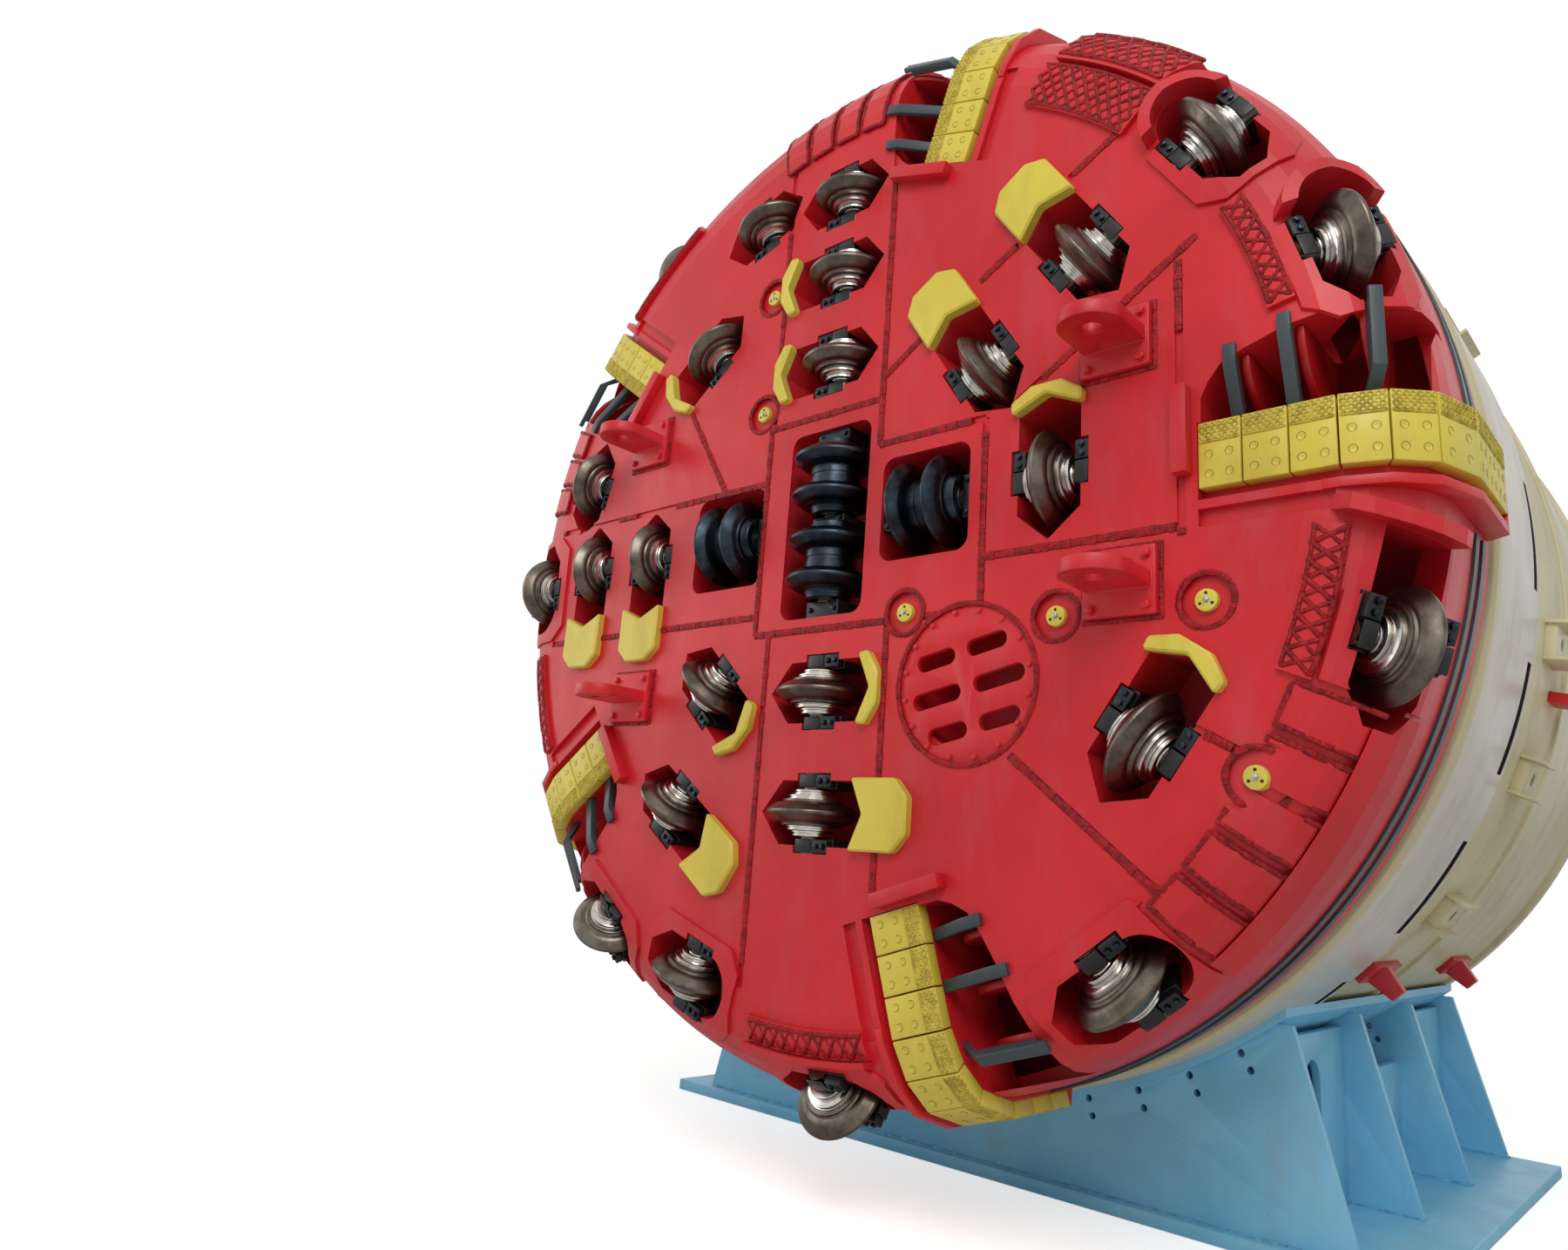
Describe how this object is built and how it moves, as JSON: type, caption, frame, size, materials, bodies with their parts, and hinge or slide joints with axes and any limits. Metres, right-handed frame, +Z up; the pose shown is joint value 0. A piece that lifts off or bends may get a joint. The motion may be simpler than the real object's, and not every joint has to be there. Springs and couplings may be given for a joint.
{
  "type": "tunnel boring machine cutterhead on its front shield and cradle",
  "caption": "Hard-rock tunnel boring cutterhead with disc cutters, muck buckets and lips, turning in its front shield on a welded shop cradle.",
  "frame": {"origin": "middle of the cradle base plate's underside, on the floor under the machine axis", "axes": "+Z up, +Y from the cutting face back along the machine axis, +X to the right as seen facing the cutting face"},
  "size_m": [5.5846, 4.76, 5.758],
  "materials": {
    "bar_grey": "dark grey enamel",
    "centre_steel": "blued forged steel",
    "cradle_blue": "light blue enamel",
    "cutter_steel": "forged and ground steel",
    "head_red": "satin alkyd enamel over plate steel",
    "hose_black": "spiral-wrapped rubber",
    "saddle_black": "black enamel",
    "shield_cream": "cream enamel",
    "shield_silver": "satin grey-cream enamel",
    "wear_yellow": "yellow enamel over hardfaced steel"
  },
  "bodies": {
    "root": {"seal_ring": "hose_black", "shield_front": "shield_silver", "shield_rear": "shield_cream", "bulkhead": "shield_cream", "drive_housing": "shield_cream", "drive_motors": "cradle_blue", "ram_brackets": "shield_cream", "shield_lugs": "head_red", "cradle_base": "cradle_blue", "cradle_webs": "cradle_blue", "cradle_sides": "cradle_blue", "cradle_saddle": "cradle_blue"},
    "cutterhead": {"head_centre": "head_red", "head_segment_ne": "head_red", "head_segment_nw": "head_red", "head_segment_sw": "head_red", "head_segment_se": "head_red", "head_drum": "head_red", "bucket_lips": "wear_yellow", "bucket_beams": "head_red", "bucket_fins": "head_red", "grizzly_bars": "bar_grey", "cutter_guards": "wear_yellow", "cutter_saddles": "saddle_black", "cutter_shafts": "cutter_steel", "lifting_lugs": "head_red", "nozzle_plugs": "wear_yellow", "manhole_cover": "head_red", "wear_plates": "head_red", "rim_bands": "bar_grey"},
    "cutter_a": {"cutter_a": "cutter_steel"},
    "cutter_b": {"cutter_b": "cutter_steel"},
    "cutter_c": {"cutter_c": "cutter_steel"},
    "cutter_d": {"cutter_d": "cutter_steel"},
    "cutter_e": {"cutter_e": "cutter_steel"},
    "cutter_f": {"cutter_f": "cutter_steel"},
    "cutter_g": {"cutter_g": "cutter_steel"},
    "cutter_h": {"cutter_h": "cutter_steel"},
    "cutter_i": {"cutter_i": "cutter_steel"},
    "cutter_j": {"cutter_j": "cutter_steel"},
    "cutter_k": {"cutter_k": "cutter_steel"},
    "cutter_l": {"cutter_l": "cutter_steel"},
    "cutter_m": {"cutter_m": "cutter_steel"},
    "cutter_n": {"cutter_n": "cutter_steel"},
    "cutter_o": {"cutter_o": "cutter_steel"},
    "cutter_p": {"cutter_p": "cutter_steel"},
    "cutter_q": {"cutter_q": "cutter_steel"},
    "cutter_r": {"cutter_r": "cutter_steel"},
    "cutter_s": {"cutter_s": "cutter_steel"},
    "cutter_t": {"cutter_t": "cutter_steel"},
    "cutter_u": {"cutter_u": "cutter_steel"},
    "cutter_v": {"cutter_v": "cutter_steel"},
    "cutter_w": {"cutter_w": "cutter_steel"},
    "cutter_x": {"cutter_x": "cutter_steel"},
    "cutter_y": {"cutter_y": "cutter_steel"},
    "twin_top": {"twin_top": "centre_steel"},
    "twin_bottom": {"twin_bottom": "centre_steel"},
    "twin_left": {"twin_left": "centre_steel"},
    "twin_right": {"twin_right": "centre_steel"}
  },
  "joints": [
    {"name": "cutterhead_spin", "type": "hinge", "parent": "root", "child": "cutterhead", "pos_m": [0, -1.961, 3.09], "axis": [0, 1, 0], "continuous": true},
    {"name": "cutter_a_spin", "type": "hinge", "parent": "cutterhead", "child": "cutter_a", "pos_m": [0, -2.815, 4.938], "axis": [0, 0, 1], "continuous": true},
    {"name": "cutter_b_spin", "type": "hinge", "parent": "cutterhead", "child": "cutter_b", "pos_m": [0, -2.815, 4.474], "axis": [0, 0, 1], "continuous": true},
    {"name": "cutter_c_spin", "type": "hinge", "parent": "cutterhead", "child": "cutter_c", "pos_m": [0, -2.815, 3.96], "axis": [0, 0, 1], "continuous": true},
    {"name": "cutter_d_spin", "type": "hinge", "parent": "cutterhead", "child": "cutter_d", "pos_m": [-0.60047, -2.815, 4.97151], "axis": [-0.304, 0, 0.9527], "continuous": true},
    {"name": "cutter_e_spin", "type": "hinge", "parent": "cutterhead", "child": "cutter_e", "pos_m": [-0.94787, -2.815, 4.27313], "axis": [-0.6252, 0, 0.7804], "continuous": true},
    {"name": "cutter_f_spin", "type": "hinge", "parent": "cutterhead", "child": "cutter_f", "pos_m": [-1.58369, -2.63283, 5.08097], "axis": [-0.2923, 0.8829, 0.3674], "continuous": true},
    {"name": "cutter_g_spin", "type": "hinge", "parent": "cutterhead", "child": "cutter_g", "pos_m": [-1.96482, -2.815, 3.6534], "axis": [-0.9613, 0, 0.2756], "continuous": true},
    {"name": "cutter_h_spin", "type": "hinge", "parent": "cutterhead", "child": "cutter_h", "pos_m": [-2.34522, -2.81558, 3.0081], "axis": [-0.9897, 0.1392, -0.0346], "continuous": true},
    {"name": "cutter_i_spin", "type": "hinge", "parent": "cutterhead", "child": "cutter_i", "pos_m": [-1.86, -2.815, 3.09], "axis": [-1, 0, 0], "continuous": true},
    {"name": "cutter_j_spin", "type": "hinge", "parent": "cutterhead", "child": "cutter_j", "pos_m": [-1.327, -2.815, 3.09], "axis": [-1, 0, 0], "continuous": true},
    {"name": "cutter_k_spin", "type": "hinge", "parent": "cutterhead", "child": "cutter_k", "pos_m": [1.235, -2.815, 3.09], "axis": [1, 0, 0], "continuous": true},
    {"name": "cutter_l_spin", "type": "hinge", "parent": "cutterhead", "child": "cutter_l", "pos_m": [0.89906, -2.815, 3.67385], "axis": [0.8387, 0, 0.5446], "continuous": true},
    {"name": "cutter_m_spin", "type": "hinge", "parent": "cutterhead", "child": "cutter_m", "pos_m": [1.38988, -2.815, 4.07409], "axis": [0.8161, 0, 0.5779], "continuous": true},
    {"name": "cutter_n_spin", "type": "hinge", "parent": "cutterhead", "child": "cutter_n", "pos_m": [1.92783, -2.80191, 4.43487], "axis": [0.8077, 0.1736, 0.5635], "continuous": true},
    {"name": "cutter_o_spin", "type": "hinge", "parent": "cutterhead", "child": "cutter_o", "pos_m": [2.35977, -2.72906, 3.82047], "axis": [0.7155, 0.6626, 0.2215], "continuous": true},
    {"name": "cutter_p_spin", "type": "hinge", "parent": "cutterhead", "child": "cutter_p", "pos_m": [2.44413, -2.66716, 2.31468], "axis": [0.5535, 0.8141, -0.1756], "continuous": true},
    {"name": "cutter_q_spin", "type": "hinge", "parent": "cutterhead", "child": "cutter_q", "pos_m": [1.62521, -2.815, 1.98551], "axis": [0.8271, 0, -0.5621], "continuous": true},
    {"name": "cutter_r_spin", "type": "hinge", "parent": "cutterhead", "child": "cutter_r", "pos_m": [1.4924, -2.73577, 1.13094], "axis": [0.4669, 0.6374, -0.6129], "continuous": true},
    {"name": "cutter_s_spin", "type": "hinge", "parent": "cutterhead", "child": "cutter_s", "pos_m": [0, -2.815, 2.249], "axis": [0, 0, -1], "continuous": true},
    {"name": "cutter_t_spin", "type": "hinge", "parent": "cutterhead", "child": "cutter_t", "pos_m": [0, -2.815, 1.688], "axis": [0, 0, -1], "continuous": true},
    {"name": "cutter_u_spin", "type": "hinge", "parent": "cutterhead", "child": "cutter_u", "pos_m": [-0.73381, -2.815, 2.31402], "axis": [-0.6871, 0, -0.7266], "continuous": true},
    {"name": "cutter_v_spin", "type": "hinge", "parent": "cutterhead", "child": "cutter_v", "pos_m": [-0.9493, -2.815, 1.70877], "axis": [-0.5664, 0, -0.8241], "continuous": true},
    {"name": "cutter_w_spin", "type": "hinge", "parent": "cutterhead", "child": "cutter_w", "pos_m": [-0.69588, -2.81515, 0.90953], "axis": [-0.3033, 0.0698, -0.9503], "continuous": true},
    {"name": "cutter_x_spin", "type": "hinge", "parent": "cutterhead", "child": "cutter_x", "pos_m": [-1.42272, -2.77504, 1.09542], "axis": [-0.5029, 0.5, -0.705], "continuous": true},
    {"name": "cutter_y_spin", "type": "hinge", "parent": "cutterhead", "child": "cutter_y", "pos_m": [0.1351, -2.66127, 0.51216], "axis": [0.0294, 0.8271, -0.5613], "continuous": true},
    {"name": "twin_top_spin", "type": "hinge", "parent": "cutterhead", "child": "twin_top", "pos_m": [0, -2.815, 3.325], "axis": [0, 0, 1], "continuous": true},
    {"name": "twin_bottom_spin", "type": "hinge", "parent": "cutterhead", "child": "twin_bottom", "pos_m": [0, -2.815, 2.895], "axis": [0, 0, 1], "continuous": true},
    {"name": "twin_left_spin", "type": "hinge", "parent": "cutterhead", "child": "twin_left", "pos_m": [-0.686, -2.815, 3.09], "axis": [1, 0, 0], "continuous": true},
    {"name": "twin_right_spin", "type": "hinge", "parent": "cutterhead", "child": "twin_right", "pos_m": [0.597, -2.815, 3.09], "axis": [1, 0, 0], "continuous": true}
  ]
}
